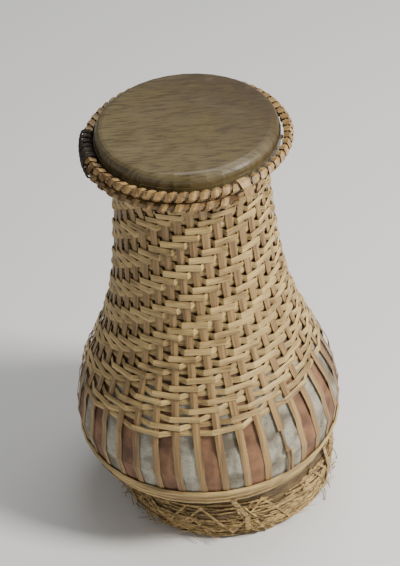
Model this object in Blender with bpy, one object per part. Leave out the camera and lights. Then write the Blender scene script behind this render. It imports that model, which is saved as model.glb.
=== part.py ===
"""Vase-shaped clay pot drum in a twill-woven cane jacket, standing in a straw ring."""
import math

import bmesh
import bpy
import numpy as np
from mathutils import Vector

# Driving dimensions of the clay pot, in metres
BASE_LIFT = 0.013
BELLY_LEVEL = 0.128
BELLY_RADIUS = 0.152
SWELL_FADE = 0.1073
SWELL_POWER = 1.84
NECK_LEVEL = 0.430
NECK_RADIUS = 0.0802
NECK_TAPER = 0.060
FLARE_START = 0.440
MOUTH_LEVEL = 0.487
MOUTH_RADIUS = 0.0984
LIP_LEVEL = 0.5035
LIP_ROUND = 0.004
CLAY_WALL = 0.007
POT_SIDES = 36

# Driving dimensions of the skin head
SKIN_THICKNESS = 0.0012
SHOULDER_ROUND = 0.009
SKIRT_LEVEL = 0.4815
COLLAR_HEIGHT = 0.010
COLLAR_SLOT = 0.0004
COLLAR_THICKNESS = 0.0008
SKIN_SIDES = 36

# Driving dimensions of the woven jacket
STAKE_COUNT = 37
STAKE_WIDTH = 0.0085
STAKE_THICKNESS = 0.0009
STAKE_PHASE = math.radians(3.0)
STAKE_PHASE_LEVEL = 0.190
STAKE_TWIST = math.radians(23.0)
WEAVER_TURNS = 32
WEAVER_THICKNESS = 0.0009
WEAVER_WIDTH_NECK = 0.0082
WEAVER_WIDTH_BELLY = 0.0066
ROW_PITCH_NECK = 0.0095
WEAVE_TOP = 0.457
WEAVE_WAIST = 0.325
WEAVE_EDGE = 0.1865
EDGE_SLANT = 0.0155
EDGE_SLANT_ANGLE = math.radians(30.0)
TWILL_START = 3
JACKET_STANDOFF = 0.0036
BARE_STANDOFF = 0.0004
FLARED_TOP = 0.473
KNOTTED_STAKE = 3

# Driving dimensions of the hoops and their lashings
UPPER_HOOP_STANDOFF = 0.0104
UPPER_HOOP_RADIUS = MOUTH_RADIUS + UPPER_HOOP_STANDOFF
UPPER_HOOP_LEVEL = 0.4862
UPPER_CORE_RADIUS = 0.0038
UPPER_WRAP_TURNS = 58
LOWER_HOOP_STANDOFF = 0.0114
LOWER_HOOP_RADIUS = MOUTH_RADIUS + LOWER_HOOP_STANDOFF
LOWER_HOOP_LEVEL = 0.4734
LOWER_CORE_RADIUS = 0.0040
LOWER_WRAP_TURNS = 26
LOWER_HOOP_START = math.radians(-190.0)
LOWER_HOOP_END = math.radians(26.0)
WRAP_THICKNESS = 0.0010
WRAP_WIDTH = 0.0085
FLESH_HOOP_STANDOFF = 0.0006
FLESH_HOOP_RADIUS = MOUTH_RADIUS + FLESH_HOOP_STANDOFF
FLESH_HOOP_ROD = 0.0018
STRAP_ANGLE = math.radians(31.0)
STRAP_LEAN = math.radians(4.0)
STRAP_WIDTH = 0.0110
STRAP_THICKNESS = 0.0009
LASHING_ANGLE = math.radians(-86.0)
LASHING_LOOPS = 7
LASHING_PITCH = math.radians(4.2)
LASHING_ROD = 0.0013

# Driving dimensions of the lower rim and the knotted strand
RIM_LEVELS = (0.0990, 0.0895, 0.0800)
RIM_WIDTH = 0.0088
RIM_THICKNESS = 0.0026
STRAND_ROD = 0.0014
KNOT_LEVEL = 0.140
KNOT_ROD = 0.0036

# Driving dimensions of the straw ring
RING_OFFSET = 0.0165
RING_BORE = 0.086
RING_FOOT_RADIUS = 0.1195
RING_BULGE = 0.0050
RING_FOOT_ROUND = 0.006
RING_SECTIONS = 44
ZIGZAG_WIDTH = 0.0044
ZIGZAG_THICKNESS = 0.0010
TIE_WIDTH = 0.0060
TIE_THICKNESS = 0.0010
TIE_ANGLES = {
    "ring_tie_left": math.radians(-62.0),
    "ring_tie_front": math.radians(8.0),
    "ring_tie_right": math.radians(66.0),
    "ring_tie_back": math.radians(178.0),
}

# Clearances between touching pieces
CLEARANCE = 0.0003
WEAVE_CLEARANCE = 0.0008

STAKE_PITCH = 2 * math.pi / STAKE_COUNT
BELLY_DEPTH = BELLY_LEVEL - BASE_LIFT
BOTTOM_ANGLES = [math.radians(a) for a in (90, 72, 56, 42, 28, 14, 0)]
SHELL_STEPS = (0.08, 0.16, 0.28, 0.39, 0.52, 0.67, 0.85, 1.0)


# Turned outlines
def smooth_step(t):
    t = min(max(t, 0.0), 1.0)
    return t * t * (3 - 2 * t)


def clay_radius(level):
    """Outer radius of the clay at a height, as a half ellipse under a fading swell."""
    neck = NECK_RADIUS + (NECK_LEVEL - level) * NECK_TAPER
    if level <= BELLY_LEVEL:
        drop = min((BELLY_LEVEL - level) / BELLY_DEPTH, 1.0)
        return BELLY_RADIUS * math.sqrt(1 - drop * drop)
    belly_neck = NECK_RADIUS + (NECK_LEVEL - BELLY_LEVEL) * NECK_TAPER
    rise = (level - BELLY_LEVEL) / SWELL_FADE
    body = neck + (BELLY_RADIUS - belly_neck) * math.exp(-rise ** SWELL_POWER)
    flare = smooth_step((level - FLARE_START) / (MOUTH_LEVEL - FLARE_START))
    return body + (MOUTH_RADIUS - body) * flare


def bottom_levels(depth):
    return [BELLY_LEVEL - depth * math.sin(a) for a in BOTTOM_ANGLES]


def shell_levels():
    upper = [BELLY_LEVEL + s * (NECK_LEVEL - BELLY_LEVEL) for s in SHELL_STEPS]
    flare = MOUTH_LEVEL - FLARE_START
    mouth = [FLARE_START + flare * t for t in (0.3, 0.6, 0.8, 1.0)]
    return bottom_levels(BELLY_DEPTH) + upper + mouth


WALL_LEVELS = shell_levels()
WALL_RADII = [clay_radius(level) for level in WALL_LEVELS]


def wall(level):
    """Clay radius along the straight runs between the levels of the shell."""
    return float(np.interp(level, WALL_LEVELS, WALL_RADII))


# Surface that the stakes' inner faces follow
def jacket_levels():
    lift = BELLY_LEVEL + (WEAVE_EDGE - EDGE_SLANT - BELLY_LEVEL) * 0.85
    lower = [z for z in WALL_LEVELS if RIM_LEVELS[2] - 0.006 < z < lift - 0.010]
    upper = [z for z in WALL_LEVELS if lift + 0.004 < z <= NECK_LEVEL]
    bend = WEAVE_TOP + WEAVER_WIDTH_NECK * 0.6
    return lower + [lift] + upper + [bend, FLARED_TOP], len(lower)


JACKET_LEVELS, BARE_COUNT = jacket_levels()


def jacket_radii():
    radii = [wall(z) + BARE_STANDOFF for z in JACKET_LEVELS[:BARE_COUNT]]
    radii += [wall(z) + JACKET_STANDOFF for z in JACKET_LEVELS[BARE_COUNT:-1]]
    hoop_inside = LOWER_HOOP_RADIUS - LOWER_CORE_RADIUS - WRAP_THICKNESS - 2 * CLEARANCE
    return radii + [hoop_inside - CLEARANCE - STAKE_THICKNESS]


JACKET_RADII = jacket_radii()


def jacket(level):
    return float(np.interp(level, JACKET_LEVELS, JACKET_RADII))


def slope(level, reach=0.002):
    """Outward lean of the jacket at a height, in radians from upright."""
    run = jacket(level + reach) - jacket(level - reach)
    return math.atan2(run, 2 * reach)


def stake_angle(index, level):
    return STAKE_PHASE + index * STAKE_PITCH - (level - STAKE_PHASE_LEVEL) * STAKE_TWIST


def around(angle, radius, level):
    """A point at an angle from the front, positive towards +X."""
    return Vector((radius * math.sin(angle), -radius * math.cos(angle), level))


def outward(angle):
    return Vector((math.sin(angle), -math.cos(angle), 0.0))


def sideways(angle):
    return Vector((math.cos(angle), math.sin(angle), 0.0))


# Objects and their materials
def material(name, colour, roughness=0.7, metallic=0.0):
    made = bpy.data.materials.new(name)
    made.use_nodes = True
    shader = made.node_tree.nodes["Principled BSDF"]
    shader.inputs["Base Color"].default_value = (*colour, 1.0)
    shader.inputs["Roughness"].default_value = roughness
    shader.inputs["Metallic"].default_value = metallic
    return made


def add_object(name, bm, finish, sharp=40.0):
    bmesh.ops.recalc_face_normals(bm, faces=bm.faces)
    if bm.calc_volume(signed=True) < 0:
        bmesh.ops.reverse_faces(bm, faces=bm.faces)
    mesh = bpy.data.meshes.new(name)
    bm.to_mesh(mesh)
    bm.free()
    mesh.shade_smooth()
    mesh.set_sharp_from_angle(angle=math.radians(sharp))
    mesh.materials.append(finish)
    piece = bpy.data.objects.new(name, mesh)
    bpy.context.scene.collection.objects.link(piece)
    return piece


def revolve(name, profile, sides, finish, closed=False):
    """Turn a profile of (radius, level) pairs about the drum's axis."""
    bm = bmesh.new()
    verts = [bm.verts.new((radius, 0.0, level)) for radius, level in profile]
    pairs = list(zip(verts, verts[1:]))
    if closed:
        pairs.append((verts[-1], verts[0]))
    edges = [bm.edges.new(pair) for pair in pairs]
    bmesh.ops.spin(bm, geom=verts + edges, cent=(0, 0, 0), axis=(0, 0, 1),
                   angle=2 * math.pi, steps=sides, use_merge=True)
    bmesh.ops.remove_doubles(bm, verts=bm.verts, dist=0.00001)
    return add_object(name, bm, finish)


def loft(name, sections, finish, ring=False, sharp=40.0):
    """Skin a row of like cross-sections, closed on itself or capped at both ends."""
    bm = bmesh.new()
    rows = [[bm.verts.new(point) for point in section] for section in sections]
    count = len(rows[0])
    joins = list(zip(rows, rows[1:]))
    if ring:
        joins.append((rows[-1], rows[0]))
    for first, second in joins:
        for i in range(count):
            j = (i + 1) % count
            bm.faces.new((first[i], first[j], second[j], second[i]))
    if not ring:
        bm.faces.new(rows[0])
        bm.faces.new(rows[-1])
    return add_object(name, bm, finish, sharp)


def split_cane(centre, across, out, width, thickness):
    """Cross-section of a cane split, flat on its inner side and crowned outside."""
    half = across * (width / 2)
    return [centre - half, centre + half, centre + out * thickness]


def rod_section(centre, first, second, radius, sides, turn=0.0):
    points = []
    for i in range(sides):
        a = turn + 2 * math.pi * i / sides
        points.append(centre + (first * math.cos(a) + second * math.sin(a)) * radius)
    return points


# Clay pot
def clay_profile():
    outer = [(wall(z), z) for z in WALL_LEVELS]
    outer[0] = (0.0, BASE_LIFT)
    lip = [(MOUTH_RADIUS, LIP_LEVEL - LIP_ROUND), (MOUTH_RADIUS - LIP_ROUND, LIP_LEVEL),
           (MOUTH_RADIUS - CLAY_WALL - LIP_ROUND, LIP_LEVEL - LIP_ROUND / 2)]
    inner_levels = WALL_LEVELS[-2:6:-2]
    inner = [(wall(z) - CLAY_WALL, z) for z in inner_levels]
    depth = BELLY_DEPTH - CLAY_WALL
    for angle in reversed(BOTTOM_ANGLES[::2]):
        radius = (BELLY_RADIUS - CLAY_WALL) * math.cos(angle)
        inner.append((max(radius, 0.0), BELLY_LEVEL - depth * math.sin(angle)))
    inner[-1] = (0.0, inner[-1][1])
    return outer + lip + inner


# Skin head with its edge turned up as a collar
def skin_profile():
    inside = MOUTH_RADIUS + CLEARANCE
    outside = inside + SKIN_THICKNESS
    top = LIP_LEVEL + 2 * CLEARANCE + SKIN_THICKNESS
    under = top - SKIN_THICKNESS
    profile = [(0.0, top)]
    for step in range(5):
        a = math.radians(90 - step * 22.5)
        reach = SHOULDER_ROUND
        profile.append((outside - reach + reach * math.cos(a), top - reach + reach * math.sin(a)))
    slot_floor = SKIRT_LEVEL + COLLAR_THICKNESS
    collar_in = outside + COLLAR_SLOT
    collar_out = collar_in + COLLAR_THICKNESS
    profile += [(outside, slot_floor), (collar_in, slot_floor),
                (collar_in, SKIRT_LEVEL + COLLAR_HEIGHT), (collar_out, SKIRT_LEVEL + COLLAR_HEIGHT),
                (collar_out, SKIRT_LEVEL), (inside, SKIRT_LEVEL)]
    profile += [(inside, LIP_LEVEL - LIP_ROUND), (inside - LIP_ROUND, under), (0.0, under)]
    return profile


# Stakes and the weaver
def stake(index, finish):
    sections = []
    stop = JACKET_LEVELS[BARE_COUNT] if index == KNOTTED_STAKE else 0.0
    for level in JACKET_LEVELS:
        if level < stop:
            continue
        angle = stake_angle(index, level)
        lean = slope(level)
        out = outward(angle) * math.cos(lean) - Vector((0, 0, math.sin(lean)))
        centre = around(angle, jacket(level), level)
        sections.append(split_cane(centre, sideways(angle), out, STAKE_WIDTH, STAKE_THICKNESS))
    name = "stake_%02d" % (index % STAKE_COUNT + 1)
    return loft(name, sections, finish)


def weave_level(turns, angle):
    """Height of the weaver after a number of turns, sinking to a slanted lower edge."""
    neck_turns = (WEAVE_TOP - WEAVE_WAIST) / ROW_PITCH_NECK
    if turns <= neck_turns:
        return WEAVE_TOP - turns * ROW_PITCH_NECK
    edge = WEAVE_EDGE + EDGE_SLANT * math.sin(angle - EDGE_SLANT_ANGLE)
    share = (turns - neck_turns) / (WEAVER_TURNS - neck_turns)
    return WEAVE_WAIST - share * (WEAVE_WAIST - edge)


def weaver_point(order, side):
    """Cross-section of the weaver beside one stake, over it or under it."""
    index = order % STAKE_COUNT - STAKE_COUNT // 2
    turns = order / STAKE_COUNT
    level = weave_level(turns, stake_angle(index, STAKE_PHASE_LEVEL))
    margin = (STAKE_WIDTH / 2 + 2 * WEAVE_CLEARANCE) / jacket(level)
    angle = stake_angle(index, level) + side * margin
    over = (order + TWILL_START) % 4 < 2
    if over:
        stretch = math.cos(STAKE_PITCH / 2) / math.cos(STAKE_PITCH / 2 + margin)
        lift = (jacket(level) + STAKE_THICKNESS + WEAVE_CLEARANCE) * stretch - jacket(level)
    else:
        lift = -WEAVE_CLEARANCE - WEAVER_THICKNESS
    blend = smooth_step((level - WEAVE_EDGE) / (WEAVE_WAIST - WEAVE_EDGE))
    width = WEAVER_WIDTH_BELLY + (WEAVER_WIDTH_NECK - WEAVER_WIDTH_BELLY) * blend
    lean = slope(level)
    out = outward(angle) * math.cos(lean) - Vector((0, 0, math.sin(lean)))
    across = outward(angle) * math.sin(lean) + Vector((0, 0, math.cos(lean)))
    centre = around(angle, jacket(level) + lift, level)
    return split_cane(centre, across, out, width, WEAVER_THICKNESS)


def weaver(finish):
    sections = []
    for order in range(WEAVER_TURNS * STAKE_COUNT):
        first_of_pair = (order + TWILL_START) % 2 == 0
        sections.append(weaver_point(order, -1 if first_of_pair else 1))
    return loft("jacket_weaver", sections, finish)


# Hoops, their windings and lashings
def torus(name, radius, level, rod, sides, steps, finish):
    sections = []
    for i in range(steps):
        angle = 2 * math.pi * i / steps
        sections.append(rod_section(around(angle, radius, level), outward(angle),
                                    Vector((0, 0, 1)), rod, sides, math.pi / sides))
    return loft(name, sections, finish, ring=True)


def hoop_arc(name, radius, level, rod, start, end, sides, steps, finish):
    sections = []
    for i in range(steps + 1):
        angle = start + (end - start) * i / steps
        sections.append(rod_section(around(angle, radius, level), outward(angle),
                                    Vector((0, 0, 1)), rod, sides, math.pi / sides))
    return loft(name, sections, finish)


def winding(name, radius, level, rod, start, end, turns, finish):
    """A flat split wound about a hoop as one open helix of five points a turn."""
    sections = []
    sides = 5
    bed = (rod + 2 * CLEARANCE) / math.cos(math.pi / sides)
    count = turns * sides
    for i in range(count + 1):
        roll = 2 * math.pi * i / sides
        angle = start + (end - start) * (i + 0.5) / (count + 1)
        out = outward(angle) * math.cos(roll) + Vector((0, 0, math.sin(roll)))
        centre = around(angle, radius, level) + out * bed
        sections.append(split_cane(centre, sideways(angle), out, WRAP_WIDTH, WRAP_THICKNESS))
    return loft(name, sections, finish)


def crossing_strap(finish):
    """A broad split laid over both hoops from above the upper to under the lower."""
    upper_bed = UPPER_CORE_RADIUS + WRAP_THICKNESS * 2 + CLEARANCE * 3
    lower_bed = LOWER_CORE_RADIUS + WRAP_THICKNESS * 2 + CLEARANCE * 3
    route = [(UPPER_HOOP_RADIUS, UPPER_HOOP_LEVEL, upper_bed, a) for a in (100, 55, 15, -10)]
    route += [(LOWER_HOOP_RADIUS, LOWER_HOOP_LEVEL, lower_bed, a) for a in (5, -30, -70)]
    sections = []
    for i, (radius, level, bed, roll_degrees) in enumerate(route):
        roll = math.radians(roll_degrees)
        angle = STRAP_ANGLE + STRAP_LEAN * (i / (len(route) - 1) - 0.5)
        out = outward(angle) * math.cos(roll) + Vector((0, 0, math.sin(roll)))
        centre = around(angle, radius, level) + out * (bed / math.cos(math.radians(22)))
        half = sideways(angle) * (STRAP_WIDTH / 2)
        rise = out * STRAP_THICKNESS
        sections.append([centre - half, centre + half, centre + half + rise, centre - half + rise])
    return loft("crossing_strap", sections, finish)


def side_lashing(finish):
    """Dark loops of cord thrown over both hoops at the drum's left side."""
    middle = (UPPER_HOOP_LEVEL + LOWER_HOOP_LEVEL) / 2
    out_radius = LOWER_HOOP_RADIUS + LOWER_CORE_RADIUS + WRAP_THICKNESS * 2 + LASHING_ROD + 0.0017
    in_radius = UPPER_HOOP_RADIUS - UPPER_CORE_RADIUS - WRAP_THICKNESS * 2 - 0.0006
    top = UPPER_HOOP_LEVEL + UPPER_CORE_RADIUS + WRAP_THICKNESS * 2 + LASHING_ROD + 0.0019
    low = LOWER_HOOP_LEVEL - LOWER_CORE_RADIUS - WRAP_THICKNESS * 2 - LASHING_ROD - 0.0017
    spread = (out_radius - in_radius) / 2
    corners = [(in_radius + spread * 0.6, top), (out_radius, top - 0.004), (out_radius, middle),
               (out_radius, low + 0.004), (in_radius + spread * 0.9, low)]
    sections = []
    for loop in range(LASHING_LOOPS):
        order = corners if loop % 2 == 0 else corners[::-1]
        for step, (radius, level) in enumerate(order):
            share = loop + step / len(order)
            angle = LASHING_ANGLE + LASHING_PITCH * (share - LASHING_LOOPS / 2)
            sections.append((angle, radius, level))
    points = [around(*section) for section in sections]
    rings = []
    for i, point in enumerate(points):
        along = points[min(i + 1, len(points) - 1)] - points[max(i - 1, 0)]
        along.normalize()
        first = along.cross(outward(sections[i][0]) + Vector((0, 0, 0.6))).normalized()
        second = along.cross(first).normalized()
        rings.append(rod_section(point, first, second, LASHING_ROD, 5))
    return loft("side_lashing", rings, finish)


# Lower rim and the knotted strand
def rim_inner(level):
    return jacket(level) + STAKE_THICKNESS + 2 * CLEARANCE


def rim_split(name, level, finish):
    sections = []
    lean = slope(level, 0.004)
    for index in range(STAKE_COUNT):
        angle = stake_angle(index, level)
        out = outward(angle) * math.cos(lean) - Vector((0, 0, math.sin(lean)))
        up = outward(angle) * math.sin(lean) + Vector((0, 0, math.cos(lean)))
        centre = around(angle, rim_inner(level), level)
        half = up * (RIM_WIDTH / 2)
        crown = out * RIM_THICKNESS
        sections.append([centre - half, centre + half, centre + half * 0.5 + crown,
                         centre - half * 0.5 + crown])
    return loft(name, sections, finish, ring=True, sharp=60.0)


def strand_rings(levels, angle_shift, knot_at=None):
    rings = []
    for level in levels:
        rod = KNOT_ROD if level == knot_at else STRAND_ROD
        angle = stake_angle(KNOTTED_STAKE, level) + angle_shift(level)
        centre = around(angle, wall(level) + rod + BARE_STANDOFF + CLEARANCE, level)
        rings.append(rod_section(centre, outward(angle), sideways(angle), rod, 6))
    return rings


def knotted_strand(finish):
    top = JACKET_LEVELS[BARE_COUNT] - 2 * CLEARANCE
    foot = RIM_LEVELS[0] + RIM_WIDTH / 2 + 2 * CLEARANCE
    swell = KNOT_ROD * 1.3
    levels = [top, (top + KNOT_LEVEL + swell) / 2, KNOT_LEVEL + swell, KNOT_LEVEL,
              KNOT_LEVEL - swell, (foot + KNOT_LEVEL) / 2, foot]
    return loft("knotted_strand", strand_rings(levels, lambda level: 0.0, KNOT_LEVEL), finish)


def knotted_tail(finish):
    start = KNOT_LEVEL - KNOT_ROD * 1.2
    foot = RIM_LEVELS[0] + RIM_WIDTH / 2 + 2 * CLEARANCE
    levels = [start, start * 0.6 + foot * 0.4, foot]
    gap = (KNOT_ROD + STRAND_ROD + CLEARANCE) / wall(KNOT_LEVEL)
    return loft("knotted_tail", strand_rings(levels, lambda level: gap), finish)


# Straw ring that the pot sits in, a little to one side of the pot's axis
def under_pot(radius):
    """Height of the clay's underside at a distance from the axis, less a clearance."""
    levels = [z for z in WALL_LEVELS if z <= BELLY_LEVEL]
    radii = [wall(z) for z in levels]
    return float(np.interp(radius, radii, levels)) - 2 * CLEARANCE


def ring_point(angle, radius, level):
    return around(angle, radius, level) + Vector((RING_OFFSET, 0, 0))


def from_axis(angle, radius):
    point = ring_point(angle, radius, 0.0)
    return math.hypot(point.x, point.y)


def ring_top(angle, radius):
    """Top of the straw under the pot, the rim or the jacket's lower edge."""
    rim_floor = RIM_LEVELS[2] - RIM_WIDTH / 2 - 0.004
    return min(under_pot(from_axis(angle, radius)) - 3 * CLEARANCE, rim_floor)


def straw_section(angle):
    foot = RING_FOOT_RADIUS - RING_FOOT_ROUND
    outer = RING_FOOT_RADIUS + RING_BULGE
    shoulder = ring_top(angle, outer)
    inside_top = ring_top(angle, RING_BORE)
    middle_radius = (outer + RING_BORE) / 2
    middle_top = ring_top(angle, middle_radius)
    return [ring_point(angle, RING_BORE, 0.0), ring_point(angle, foot, 0.0),
            ring_point(angle, RING_FOOT_RADIUS, RING_FOOT_ROUND),
            ring_point(angle, outer, shoulder * 0.55), ring_point(angle, outer - 0.002, shoulder - 0.003),
            ring_point(angle, middle_radius, middle_top - 0.001),
            ring_point(angle, RING_BORE, inside_top - 0.002)]


def straw_ring(finish):
    sections = [straw_section(2 * math.pi * i / RING_SECTIONS) for i in range(RING_SECTIONS)]
    return loft("straw_ring", sections, finish, ring=True, sharp=60.0)


def ring_face(angle, share):
    """A point on the straw ring's outer face, from its foot at 0 to its shoulder at 1."""
    section = straw_section(angle)
    face = section[2:5]
    spot = min(max(share, 0.0), 1.0) * 2
    step = min(int(spot), 1)
    return face[step].lerp(face[step + 1], spot - step)


def ring_lashing(finish):
    """One split zigzagging around the straw ring's outer face."""
    sections = []
    shares = (0.1, 0.5, 0.9, 0.5)
    for i in range(RING_SECTIONS):
        angle = 2 * math.pi * i / RING_SECTIONS
        base = ring_face(angle, shares[i % 4]) + outward(angle) * (4 * CLEARANCE)
        side = Vector((0, 0, ZIGZAG_WIDTH / 2))
        rise = outward(angle) * ZIGZAG_THICKNESS
        sections.append([base - side, base + side, base + side + rise, base - side + rise])
    return loft("ring_lashing", sections, finish, ring=True)


def ring_tie(name, angle, finish):
    """A short split from the rim down over the straw ring."""
    level = RIM_LEVELS[2]
    lean = slope(level, 0.004)
    out = outward(angle) * math.cos(lean) - Vector((0, 0, math.sin(lean)))
    up = outward(angle) * math.sin(lean) + Vector((0, 0, math.cos(lean)))
    crown = around(angle, rim_inner(level), level) + out * (RIM_THICKNESS + 2 * CLEARANCE)
    top = crown + up * (RIM_WIDTH * 0.45)
    bottom = crown - up * (RIM_WIDTH * 0.45)
    face_low = ring_face(angle, 0.15) + outward(angle) * (ZIGZAG_THICKNESS + 7 * CLEARANCE)
    face_high = ring_face(angle, 0.55) + outward(angle) * (ZIGZAG_THICKNESS + 7 * CLEARANCE)
    sections = []
    for point in (top, bottom, face_high, face_low):
        side = sideways(angle) * (TIE_WIDTH / 2)
        rise = outward(angle) * TIE_THICKNESS
        sections.append([point - side, point + side, point + side + rise, point - side + rise])
    return loft(name, sections, finish)


def build():
    for piece in list(bpy.data.objects):
        bpy.data.objects.remove(piece, do_unlink=True)
    clay = material("painted_clay", (0.42, 0.36, 0.28), 0.85)
    skin = material("rawhide", (0.22, 0.17, 0.08), 0.45)
    cane = material("stake_cane", (0.48, 0.36, 0.20), 0.6)
    weave = material("weaver_cane", (0.56, 0.45, 0.27), 0.6)
    rattan = material("hoop_rattan", (0.50, 0.38, 0.20), 0.55)
    dark = material("dark_cord", (0.07, 0.05, 0.03), 0.8)
    straw = material("straw", (0.46, 0.36, 0.19), 0.9)
    revolve("clay_pot", clay_profile(), POT_SIDES, clay)
    revolve("skin_head", skin_profile(), SKIN_SIDES, skin)
    torus("flesh_hoop", FLESH_HOOP_RADIUS, SKIRT_LEVEL - FLESH_HOOP_ROD - 2 * CLEARANCE,
          FLESH_HOOP_ROD, 4, 30, cane)
    for index in range(STAKE_COUNT):
        stake(index - STAKE_COUNT // 2, cane)
    weaver(weave)
    torus("upper_hoop_core", UPPER_HOOP_RADIUS, UPPER_HOOP_LEVEL, UPPER_CORE_RADIUS, 5, 44, rattan)
    gap = math.radians(1.0)
    winding("upper_hoop_wrap", UPPER_HOOP_RADIUS, UPPER_HOOP_LEVEL, UPPER_CORE_RADIUS,
            math.pi + gap, 3 * math.pi - gap, UPPER_WRAP_TURNS, rattan)
    hoop_arc("lower_hoop_core", LOWER_HOOP_RADIUS, LOWER_HOOP_LEVEL, LOWER_CORE_RADIUS,
             LOWER_HOOP_START, LOWER_HOOP_END, 5, 26, rattan)
    winding("lower_hoop_wrap", LOWER_HOOP_RADIUS, LOWER_HOOP_LEVEL, LOWER_CORE_RADIUS,
            LOWER_HOOP_START, LOWER_HOOP_END, LOWER_WRAP_TURNS, rattan)
    crossing_strap(rattan)
    side_lashing(dark)
    for name, level in zip(("rim_split_upper", "rim_split_middle", "rim_split_lower"), RIM_LEVELS):
        rim_split(name, level, weave)
    knotted_strand(cane)
    knotted_tail(cane)
    straw_ring(straw)
    ring_lashing(straw)
    for name, angle in TIE_ANGLES.items():
        ring_tie(name, angle, straw)


build()
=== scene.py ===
"""The looks of a clay pot drum in a woven cane jacket, standing in a ring of bound straw."""

import math
import random

import bpy
from mathutils import Matrix, Vector
from mathutils.bvhtree import BVHTree


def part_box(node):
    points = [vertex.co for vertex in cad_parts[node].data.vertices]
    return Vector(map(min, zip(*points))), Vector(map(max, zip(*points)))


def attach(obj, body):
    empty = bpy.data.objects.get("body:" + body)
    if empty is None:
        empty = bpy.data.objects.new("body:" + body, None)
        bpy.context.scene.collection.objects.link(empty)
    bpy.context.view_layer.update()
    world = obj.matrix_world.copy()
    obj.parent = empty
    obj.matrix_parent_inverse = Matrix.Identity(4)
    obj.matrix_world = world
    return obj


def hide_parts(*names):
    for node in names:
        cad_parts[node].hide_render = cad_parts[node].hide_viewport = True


# The camera that fits the photograph, with lengths in its image given in pixels
PHOTO_HEIGHT = 566
FOCAL_PIXELS = 2500
CAMERA_PLACE = (0.0165, -2.2009, 2.0358)
CAMERA_DOWN = math.radians(39.0)
CAMERA_ROLL = math.radians(4.45)
CAMERA_OFFSET_X = 15.6
CAMERA_OFFSET_Y = 20.5
FILM = 24.0

# The floor, the point that all lights face, and the even light of the room
FLOOR_WIDTH = 14
FLOOR_COLOUR = (0.80, 0.80, 0.79, 1)
LIGHTS_AIM = Vector((0, 0, 0.25))
ROOM_STRENGTH = 0.25

# The two scales of noise in cane, cord and straw, and the range over which their tones change
FIBRE_SHARE = 0.45
PATCH_SHARE = 0.55
FIBRE_TONES = (0.36, 0.60)

# The painted bays between the stakes, in degrees from the front, with a twist in degrees a metre
STAKES = 37
BAY = 360 / STAKES
FIRST_STAKE = 3.0
FIRST_GREY_BAY = 3
TWIST = 23.0
TWIST_LEVEL = 0.19
PAINT_WOBBLE = 1.2

# Tones of the clay and its paint, and the ranges of noise over which they change
OCHRE_DARK = (0.11, 0.052, 0.027, 1)
OCHRE_LIGHT = (0.27, 0.135, 0.067, 1)
OCHRE_CLOUDS = (0.35, 0.65)
CHALK_DARK = (0.13, 0.11, 0.075, 1)
CHALK_LIGHT = (0.38, 0.355, 0.28, 1)
CHALK_CLOUDS = (0.36, 0.58)
WORN_CLAY = (0.14, 0.075, 0.042, 1)
WORN_SPECKS = (0.58, 0.72)
WORN_MOST = 0.7
SPECK_RELIEF = 0.3

# Behind the weave the clay is dark: the heights between which it turns so
SHADED_CLAY = (0.10, 0.055, 0.03, 1)
SHADE_LEVELS = (0.215, 0.235)

# Tones of the hide, and the ranges over which they change
HIDE_OLIVE = (0.110, 0.082, 0.032, 1)
HIDE_BROWN = (0.034, 0.017, 0.006, 1)
HIDE_MOTTLE = (0.3, 0.7)
HIDE_ROUGHNESS = (0.34, 0.56)
FAR_SIDE = (-0.05, 0.13)
FAR_RAGGED = 0.11
SPOT_TONE = (0.155, 0.122, 0.055, 1)
SPOT_MOTTLE = (0.42, 0.66)
SPOT_MOST = 0.55
HAIR_TONE = (0.042, 0.027, 0.011, 1)
HAIR_STREAKS = (0.46, 0.66)
HAIR_MOST = 0.75
HAIR_LIE = math.radians(28)
HAIR_SCALE = (55.0, 380.0, 60.0)

# The straw ring's axis, the least distance of its outer face from it, and where the rays start
RING_CENTRE_X = 0.0165
RING_FACE_LEAST = 0.09
RAY_START = 0.3

# Straws laid round the ring: lengths are in radians, and thicknesses are shares of the radius
STRAND_COUNT = 300
STRAND_POINTS = 12
STRAND_FEWEST = 4
STRAND_RADIUS = 0.0011
STRAND_LENGTHS = (0.35, 1.3)
STRAND_DRIFT = 0.016
STRAND_THICKNESS = (0.6, 1.25)
STRAND_LIFT = 1.6
FOOT_MARGIN = 0.002
TOP_MARGIN = 0.012

# One straw in so many is thick, short and steep
STEEP_EVERY = 5
STEEP_LENGTHS = (0.12, 0.35)
STEEP_DRIFTS = (0.02, 0.045)
STEEP_THICKNESS = (1.3, 2.0)

# Loose ends that stand off the ring
WISP_COUNT = 130
WISP_RADIUS = 0.0006
WISP_LEVELS = (0.004, 0.040)
WISP_REACH = 0.012
WISP_REACH_SHARES = (0.3, 1.0)
WISP_SIDEWAYS = (0.008, 0.026)
WISP_RISE = 0.008
WISP_BEND = 0.2
WISP_LOWEST = 0.001
WISP_ROOT = 0.001
WISP_THICKNESS = (0.6, 1.1)

# The lashing that binds both hoops at the left, a real lashing coloured near black as painted shade of
# that side: its spread and sway are in radians
LASHING_CORD = 0.0012
LASHING_TURNS = 12
LASHING_STEPS = 14
LASHING_SPREAD = 0.24
LASHING_REACH_OUT = 0.0085
LASHING_REACH_IN = 0.0068
LASHING_ROOM = 3
LASHING_SQUARENESS = 0.7
LASHING_SWAY = 0.01
LASHING_SWAY_TURN = 40

random.seed(7)


def add(tree, kind, inputs=None, **settings):
    """Adds a node, sets it up, and joins or fills its inputs."""
    made = tree.nodes.new(kind)
    for name, value in settings.items():
        setattr(made, name, value)
    for name, value in (inputs or {}).items():
        if isinstance(value, bpy.types.NodeSocket):
            tree.links.new(value, made.inputs[name])
        else:
            made.inputs[name].default_value = value
    return made


def maths(tree, operation, first, second=0.0):
    """One step of arithmetic on values."""
    return add(tree, "ShaderNodeMath", {0: first, 1: second}, operation=operation).outputs[0]


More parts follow.
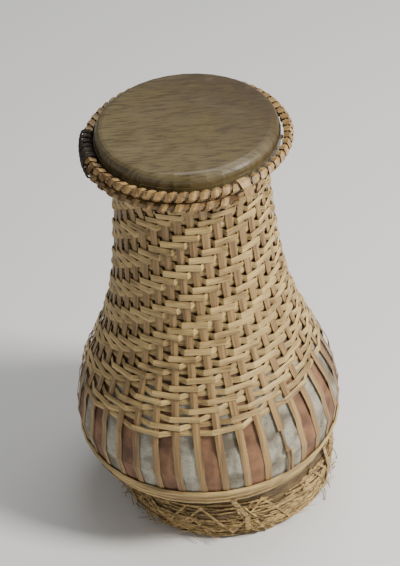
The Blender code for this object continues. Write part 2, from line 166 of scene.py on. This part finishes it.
def blend_colours(tree, share, first, second):
    """The first colour where the share is 0, and the second where it is 1."""
    return add(tree, "ShaderNodeMix", {0: share, 6: first, 7: second}, data_type="RGBA").outputs[2]


def spread(tree, value, low, high, to_low=0.0, to_high=1.0):
    """Stretches the range from low to high over another one, and holds it at both ends."""
    inputs = {"Value": value, "From Min": low, "From Max": high, "To Min": to_low, "To Max": to_high}
    return add(tree, "ShaderNodeMapRange", inputs).outputs["Result"]


def noise(tree, vector, scale=1.0, detail=3.0):
    """Noise between 0 and 1."""
    return add(tree, "ShaderNodeTexNoise", {"Vector": vector, "Scale": scale, "Detail": detail}).outputs[0]


def object_place(tree):
    """The place on the object in metres, whole and split into X, Y and Z."""
    place = add(tree, "ShaderNodeTexCoord").outputs["Object"]
    return place, add(tree, "ShaderNodeSeparateXYZ", {0: place}).outputs


def new_group(name, inputs, outputs):
    """A shader group with its sockets; returns the tree and its two end nodes."""
    tree = bpy.data.node_groups.new(name, "ShaderNodeTree")
    for label, kind, value in inputs:
        socket = tree.interface.new_socket(label, in_out="INPUT", socket_type=kind)
        socket.default_value = value
    for label, kind in outputs:
        tree.interface.new_socket(label, in_out="OUTPUT", socket_type=kind)
    return tree, tree.nodes.new("NodeGroupInput"), tree.nodes.new("NodeGroupOutput")


def fibre_group():
    """Fibres that run round or up the drum, in two tones, with broad patches over them."""
    tree, given, result = new_group(
        "fibre grain",
        [("Light", "NodeSocketColor", (0.5, 0.4, 0.2, 1)),
         ("Dark", "NodeSocketColor", (0.2, 0.1, 0.05, 1)),
         ("Around", "NodeSocketFloat", 6.0),
         ("Up", "NodeSocketFloat", 1500.0),
         ("Patch Around", "NodeSocketFloat", 3.0),
         ("Patch Up", "NodeSocketFloat", 90.0)],
        [("Color", "NodeSocketColor"), ("Height", "NodeSocketFloat")])
    _, split = object_place(tree)
    flat = add(tree, "ShaderNodeCombineXYZ", {"X": split["X"], "Y": split["Y"]})
    heading = add(tree, "ShaderNodeVectorMath", {0: flat.outputs[0]}, operation="NORMALIZE").outputs[0]
    turn = add(tree, "ShaderNodeSeparateXYZ", {0: heading}).outputs

    def stretched(around, up):
        parts = {"X": maths(tree, "MULTIPLY", turn["X"], given.outputs[around]),
                 "Y": maths(tree, "MULTIPLY", turn["Y"], given.outputs[around]),
                 "Z": maths(tree, "MULTIPLY", split["Z"], given.outputs[up])}
        return add(tree, "ShaderNodeCombineXYZ", parts).outputs[0]

    fine = noise(tree, stretched("Around", "Up"))
    patch = noise(tree, stretched("Patch Around", "Patch Up"), detail=2.0)
    fine_part = maths(tree, "MULTIPLY", fine, FIBRE_SHARE)
    patch_part = maths(tree, "MULTIPLY", patch, PATCH_SHARE)
    tone = spread(tree, maths(tree, "ADD", fine_part, patch_part), *FIBRE_TONES)
    colour = blend_colours(tree, tone, given.outputs["Dark"], given.outputs["Light"])
    tree.links.new(colour, result.inputs["Color"])
    tree.links.new(fine, result.inputs["Height"])
    return tree


def finish(name, roughness, coat=0.0):
    """A material with its Principled shader, ready for a colour and a bump."""
    made = bpy.data.materials.new(name)
    made.use_nodes = True
    shader = made.node_tree.nodes["Principled BSDF"]
    shader.inputs["Roughness"].default_value = roughness
    shader.inputs["Coat Weight"].default_value = coat
    return made, made.node_tree, shader


def relief(tree, shader, height, depth, strength=0.6):
    """Shades the surface as if a height map raised it, with a depth in metres."""
    bump = add(tree, "ShaderNodeBump", {"Height": height, "Distance": depth, "Strength": strength})
    tree.links.new(bump.outputs[0], shader.inputs["Normal"])


def fibre_finish(name, light, dark, fibres, patches, roughness=0.5, depth=0.0004):
    """Cane, cord or straw. Fibres and patches each have a scale round the drum and one up it."""
    made, tree, shader = finish(name, roughness)
    inputs = {"Light": (*light, 1), "Dark": (*dark, 1),
              "Around": fibres[0], "Up": fibres[1],
              "Patch Around": patches[0], "Patch Up": patches[1]}
    grain = tree.nodes.new("ShaderNodeGroup")
    grain.node_tree = FIBRES
    for label, value in inputs.items():
        grain.inputs[label].default_value = value
    tree.links.new(grain.outputs["Color"], shader.inputs["Base Color"])
    relief(tree, shader, grain.outputs["Height"], depth)
    return made


def grey_bays(tree, place, split):
    """1 on the grey bays and 0 on the ochre ones, with slightly wavering edges."""
    front = maths(tree, "MULTIPLY", split["Y"], -1.0)
    angle = maths(tree, "DEGREES", maths(tree, "ARCTAN2", split["X"], front))
    rise = maths(tree, "SUBTRACT", split["Z"], TWIST_LEVEL)
    wobble = spread(tree, noise(tree, place, scale=60.0), 0.0, 1.0, -PAINT_WOBBLE, PAINT_WOBBLE)
    turned = maths(tree, "ADD", maths(tree, "ADD", angle, wobble), maths(tree, "MULTIPLY", rise, TWIST))
    first_bay = FIRST_STAKE + FIRST_GREY_BAY * BAY
    bays = maths(tree, "DIVIDE", maths(tree, "SUBTRACT", turned, first_bay), BAY)
    whole = maths(tree, "FLOORED_MODULO", bays, float(STAKES))
    return maths(tree, "LESS_THAN", maths(tree, "FLOORED_MODULO", whole, 2.0), 1.0)


def clay_finish():
    """Fired clay with grey and ochre bays painted in turn between the stakes, dark behind the weave."""
    made, tree, shader = finish("painted clay", roughness=0.75)
    place, split = object_place(tree)
    grey = grey_bays(tree, place, split)
    clouds = noise(tree, place, scale=45.0, detail=5.0)
    specks = noise(tree, place, scale=420.0, detail=2.0)
    ochre = blend_colours(tree, spread(tree, clouds, *OCHRE_CLOUDS), OCHRE_DARK, OCHRE_LIGHT)
    chalk = blend_colours(tree, spread(tree, clouds, *CHALK_CLOUDS), CHALK_DARK, CHALK_LIGHT)
    paint = blend_colours(tree, grey, ochre, chalk)
    worn = blend_colours(tree, spread(tree, specks, *WORN_SPECKS, 0.0, WORN_MOST), paint, WORN_CLAY)
    colour = blend_colours(tree, spread(tree, split["Z"], *SHADE_LEVELS), worn, SHADED_CLAY)
    tree.links.new(colour, shader.inputs["Base Color"])
    height = maths(tree, "ADD", clouds, maths(tree, "MULTIPLY", specks, SPECK_RELIEF))
    relief(tree, shader, height, depth=0.0012)
    return made


def skin_finish():
    """Scraped hide: olive brown, mottled, with fine hair streaks and a darker far side."""
    made, tree, shader = finish("scraped hide", roughness=0.4, coat=0.25)
    place, split = object_place(tree)
    turned = {"Vector": place, "Rotation": (0, 0, HAIR_LIE), "Scale": HAIR_SCALE}
    hair = noise(tree, add(tree, "ShaderNodeMapping", turned).outputs[0], detail=4.0)
    mottle = noise(tree, place, scale=26.0, detail=9.0)
    far = maths(tree, "ADD", split["X"], split["Y"])
    ragged = maths(tree, "ADD", far, spread(tree, mottle, *HIDE_MOTTLE, -FAR_RAGGED, FAR_RAGGED))
    base = blend_colours(tree, spread(tree, ragged, *FAR_SIDE), HIDE_OLIVE, HIDE_BROWN)
    spotted = blend_colours(tree, spread(tree, mottle, *SPOT_MOTTLE, 0.0, SPOT_MOST), base, SPOT_TONE)
    haired = blend_colours(tree, spread(tree, hair, *HAIR_STREAKS, 0.0, HAIR_MOST), spotted, HAIR_TONE)
    tree.links.new(haired, shader.inputs["Base Color"])
    roughness = spread(tree, mottle, *HIDE_MOTTLE, *HIDE_ROUGHNESS)
    tree.links.new(roughness, shader.inputs["Roughness"])
    relief(tree, shader, maths(tree, "ADD", hair, mottle), depth=0.0006)
    return made


def dress(nodes):
    """Gives every CAD node its finish, by its own name or by how its name starts."""
    named = {"clay_pot": clay_finish(), "skin_head": skin_finish(), "jacket_weaver": WEAVER_CANE,
             "side_lashing": SHADE_PAINTED_CORD, "straw_ring": STRAW, "ring_lashing": STRAW_TIE}
    starts = {"stake_": STAKE_CANE, "knotted_": STAKE_CANE, "flesh_hoop": STAKE_CANE,
              "ring_tie": STRAW_TIE, "rim_split": WEAVER_CANE}
    for name, node in nodes.items():
        chosen = named.get(name, RATTAN)
        for start, look in starts.items():
            if name.startswith(start):
                chosen = look
        if name.endswith("_core"):
            chosen = RATTAN_CORE
        node.data.materials.clear()
        node.data.materials.append(chosen)


def curve_piece(name, routes, radius, look):
    """One curve object of many strands, each with its route and its share of the radius."""
    data = bpy.data.curves.new(name, "CURVE")
    data.dimensions = "3D"
    data.bevel_depth = radius
    data.bevel_resolution = 0
    data.use_fill_caps = True
    for points, thickness in routes:
        strand = data.splines.new("POLY")
        strand.points.add(len(points) - 1)
        for i, point in enumerate(points):
            strand.points[i].co = (*point, 1)
            strand.points[i].radius = thickness
    piece = bpy.data.objects.new(name, data)
    bpy.context.collection.objects.link(piece)
    piece.data.materials.append(look)
    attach(piece, "root")
    return piece


def ring_surface(ring, angle, level):
    """The first place where a level ray from outside meets the straw ring, and the way out."""
    out = Vector((math.sin(angle), -math.cos(angle), 0))
    start = Vector((RING_CENTRE_X, 0, level)) + out * RAY_START
    hit = ring.ray_cast(start, -out)[0]
    return hit, out


def on_outer_face(hit):
    """True where a ray met the ring's outer face, not the wall of its bore."""
    return hit is not None and (hit - Vector((RING_CENTRE_X, 0, hit.z))).length >= RING_FACE_LEAST


def strand_routes(ring):
    """Straws laid round the ring, each drifting up or down its face."""
    low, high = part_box("straw_ring")
    lowest = low[2] + FOOT_MARGIN
    highest = high[2] - TOP_MARGIN
    routes = []
    for i in range(STRAND_COUNT):
        start = random.uniform(0, 2 * math.pi)
        length = random.uniform(*STRAND_LENGTHS)
        level = random.uniform(lowest, highest)
        drift = random.uniform(-STRAND_DRIFT, STRAND_DRIFT)
        thickness = random.uniform(*STRAND_THICKNESS)
        if i % STEEP_EVERY == 0:
            length = random.uniform(*STEEP_LENGTHS)
            drift = random.uniform(*STEEP_DRIFTS) * random.choice((-1, 1))
            thickness = random.uniform(*STEEP_THICKNESS)
        points = []
        for step in range(STRAND_POINTS):
            share = step / (STRAND_POINTS - 1)
            height = min(max(level + drift * share, lowest), highest)
            hit, out = ring_surface(ring, start + length * share, height)
            if not on_outer_face(hit):
                break
            points.append(hit + out * STRAND_RADIUS * random.uniform(0.0, STRAND_LIFT))
        if len(points) >= STRAND_FEWEST:
            routes.append((points, thickness))
    return routes


def wisp_routes(ring):
    """Short loose ends that leave the ring's face sideways."""
    routes = []
    for _ in range(WISP_COUNT):
        angle = random.uniform(0, 2 * math.pi)
        level = random.uniform(*WISP_LEVELS)
        hit, out = ring_surface(ring, angle, level)
        if hit is None:
            continue
        side = Vector((out.y, -out.x, 0)) * random.choice((-1, 1))
        reach = WISP_REACH * random.uniform(*WISP_REACH_SHARES)
        tip = hit + out * reach + side * random.uniform(*WISP_SIDEWAYS)
        tip.z = max(tip.z + random.uniform(-WISP_RISE, WISP_RISE), WISP_LOWEST)
        bend = (hit + tip) / 2 + out * reach * WISP_BEND
        routes.append(([hit - out * WISP_ROOT, bend, tip], random.uniform(*WISP_THICKNESS)))
    return routes


def squared(share):
    """A sine or cosine with fuller corners, so that a loop hugs two hoops."""
    return math.copysign(abs(share) ** LASHING_SQUARENESS, share)


def lashing_route():
    """Close turns of cord round the upper and the lower hoop together."""
    low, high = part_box("side_lashing")
    upper_low, upper_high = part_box("upper_hoop_core")
    lower_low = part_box("lower_hoop_core")[0]
    middle = (upper_high[2] + lower_low[2]) / 2
    tall = (upper_high[2] - lower_low[2]) / 2 + LASHING_ROOM * LASHING_CORD
    hoop_radius = (upper_high[0] - upper_low[0]) / 2 - (upper_high[2] - upper_low[2]) / 2
    centre = math.atan2(low[0] + high[0], -(low[1] + high[1]))
    points = []
    for step in range(LASHING_TURNS * LASHING_STEPS + 1):
        share = step / (LASHING_TURNS * LASHING_STEPS)
        sway = LASHING_SWAY * math.sin(share * LASHING_SWAY_TURN)
        angle = centre + LASHING_SPREAD * (2 * share - 1) + sway
        roll = 2 * math.pi * step / LASHING_STEPS
        side = LASHING_REACH_OUT if math.cos(roll) > 0 else LASHING_REACH_IN
        radius = hoop_radius + side * squared(math.cos(roll))
        level = middle + tall * squared(math.sin(roll))
        points.append(Vector((radius * math.sin(angle), -radius * math.cos(angle), level)))
    return [(points, 1.0)]


def area_light(name, place, energy, size, colour):
    """A soft square light aimed at the drum's middle."""
    data = bpy.data.lights.new(name, "AREA")
    data.energy = energy
    data.size = size
    data.color = colour
    lamp = bpy.data.objects.new(name, data)
    lamp.location = place
    lamp.rotation_euler = (LIGHTS_AIM - Vector(place)).to_track_quat("-Z", "Y").to_euler()
    bpy.context.collection.objects.link(lamp)


def studio():
    """A pale floor, a key light from the right, weaker ones from above and the left, and a dim room."""
    bpy.ops.mesh.primitive_plane_add(size=FLOOR_WIDTH)
    floor = bpy.context.object
    floor.name = "floor"
    look, _, shader = finish("pale floor", roughness=0.9)
    shader.inputs["Base Color"].default_value = FLOOR_COLOUR
    floor.data.materials.append(look)
    area_light("key", (1.6, -0.7, 1.7), energy=78, size=0.5, colour=(1.0, 0.97, 0.92))
    area_light("top", (0.4, 0.6, 2.4), energy=22, size=1.4, colour=(1.0, 1.0, 1.0))
    area_light("left_fill", (-2.0, -1.6, 1.2), energy=4, size=1.8, colour=(0.93, 0.96, 1.0))
    world = bpy.data.worlds.new("soft room")
    world.use_nodes = True
    background = world.node_tree.nodes["Background"]
    background.inputs["Color"].default_value = (1, 1, 1, 1)
    background.inputs["Strength"].default_value = ROOM_STRENGTH
    bpy.context.scene.world = world


def photograph_camera():
    """The photograph's camera, which looks down and is rolled a little."""
    data = bpy.data.cameras.new("camera")
    data.sensor_fit = "VERTICAL"
    data.sensor_height = FILM
    data.lens = FOCAL_PIXELS / PHOTO_HEIGHT * FILM
    data.shift_x = -CAMERA_OFFSET_X / PHOTO_HEIGHT
    data.shift_y = CAMERA_OFFSET_Y / PHOTO_HEIGHT
    camera = bpy.data.objects.new("camera", data)
    right = Vector((1, 0, 0))
    up = Vector((0, math.sin(CAMERA_DOWN), math.cos(CAMERA_DOWN)))
    back = right.cross(up)
    across = right * math.cos(CAMERA_ROLL) - up * math.sin(CAMERA_ROLL)
    above = up * math.cos(CAMERA_ROLL) + right * math.sin(CAMERA_ROLL)
    turn = Matrix((across, above, back)).transposed().to_4x4()
    camera.matrix_world = Matrix.Translation(CAMERA_PLACE) @ turn
    bpy.context.collection.objects.link(camera)
    bpy.context.scene.camera = camera


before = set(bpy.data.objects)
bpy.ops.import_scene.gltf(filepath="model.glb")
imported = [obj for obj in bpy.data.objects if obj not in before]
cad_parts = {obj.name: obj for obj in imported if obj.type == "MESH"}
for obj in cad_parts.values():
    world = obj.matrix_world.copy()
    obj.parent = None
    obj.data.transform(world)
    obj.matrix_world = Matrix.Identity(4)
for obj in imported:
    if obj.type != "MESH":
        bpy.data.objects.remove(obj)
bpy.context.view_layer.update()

# The finishes
FIBRES = fibre_group()
WEAVER_CANE = fibre_finish("weaver cane", light=(0.60, 0.42, 0.165), dark=(0.19, 0.115, 0.04),
                           fibres=(7.0, 1500.0), patches=(2.5, 95.0))
STAKE_CANE = fibre_finish("stake cane", light=(0.42, 0.265, 0.105), dark=(0.14, 0.078, 0.03),
                          fibres=(260.0, 22.0), patches=(22.0, 9.0))
RATTAN = fibre_finish("wound rattan", light=(0.43, 0.27, 0.10), dark=(0.12, 0.065, 0.024),
                      fibres=(75.0, 260.0), patches=(16.0, 60.0))
RATTAN_CORE = fibre_finish("hoop core", light=(0.29, 0.18, 0.072), dark=(0.11, 0.062, 0.025),
                           fibres=(9.0, 900.0), patches=(4.0, 60.0))
# Painted shade: the lashing cord's near-black tones stand in for the shade on the drum's left side
SHADE_PAINTED_CORD = fibre_finish("shade-painted cord", light=(0.035, 0.027, 0.02), dark=(0.008, 0.006, 0.005),
                         fibres=(190.0, 700.0), patches=(30.0, 60.0), roughness=0.7)
STRAW = fibre_finish("straw bundle", light=(0.20, 0.13, 0.052), dark=(0.035, 0.02, 0.009),
                     fibres=(9.0, 900.0), patches=(5.0, 160.0), roughness=0.65, depth=0.0012)
STRAW_TIE = fibre_finish("straw tie", light=(0.56, 0.385, 0.155), dark=(0.12, 0.072, 0.028),
                         fibres=(40.0, 400.0), patches=(9.0, 240.0), roughness=0.6)
dress(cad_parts)

# The loose straw, and the lashing with its painted shade
ring = BVHTree.FromObject(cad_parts["straw_ring"], bpy.context.evaluated_depsgraph_get())
curve_piece("straw_strands", strand_routes(ring), STRAND_RADIUS, STRAW_TIE)
curve_piece("straw_wisps", wisp_routes(ring), WISP_RADIUS, STRAW_TIE)
lashing = curve_piece("hoop_lashing", lashing_route(), LASHING_CORD, SHADE_PAINTED_CORD)
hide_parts("side_lashing")

studio()
photograph_camera()

bpy.context.view_layer.update()
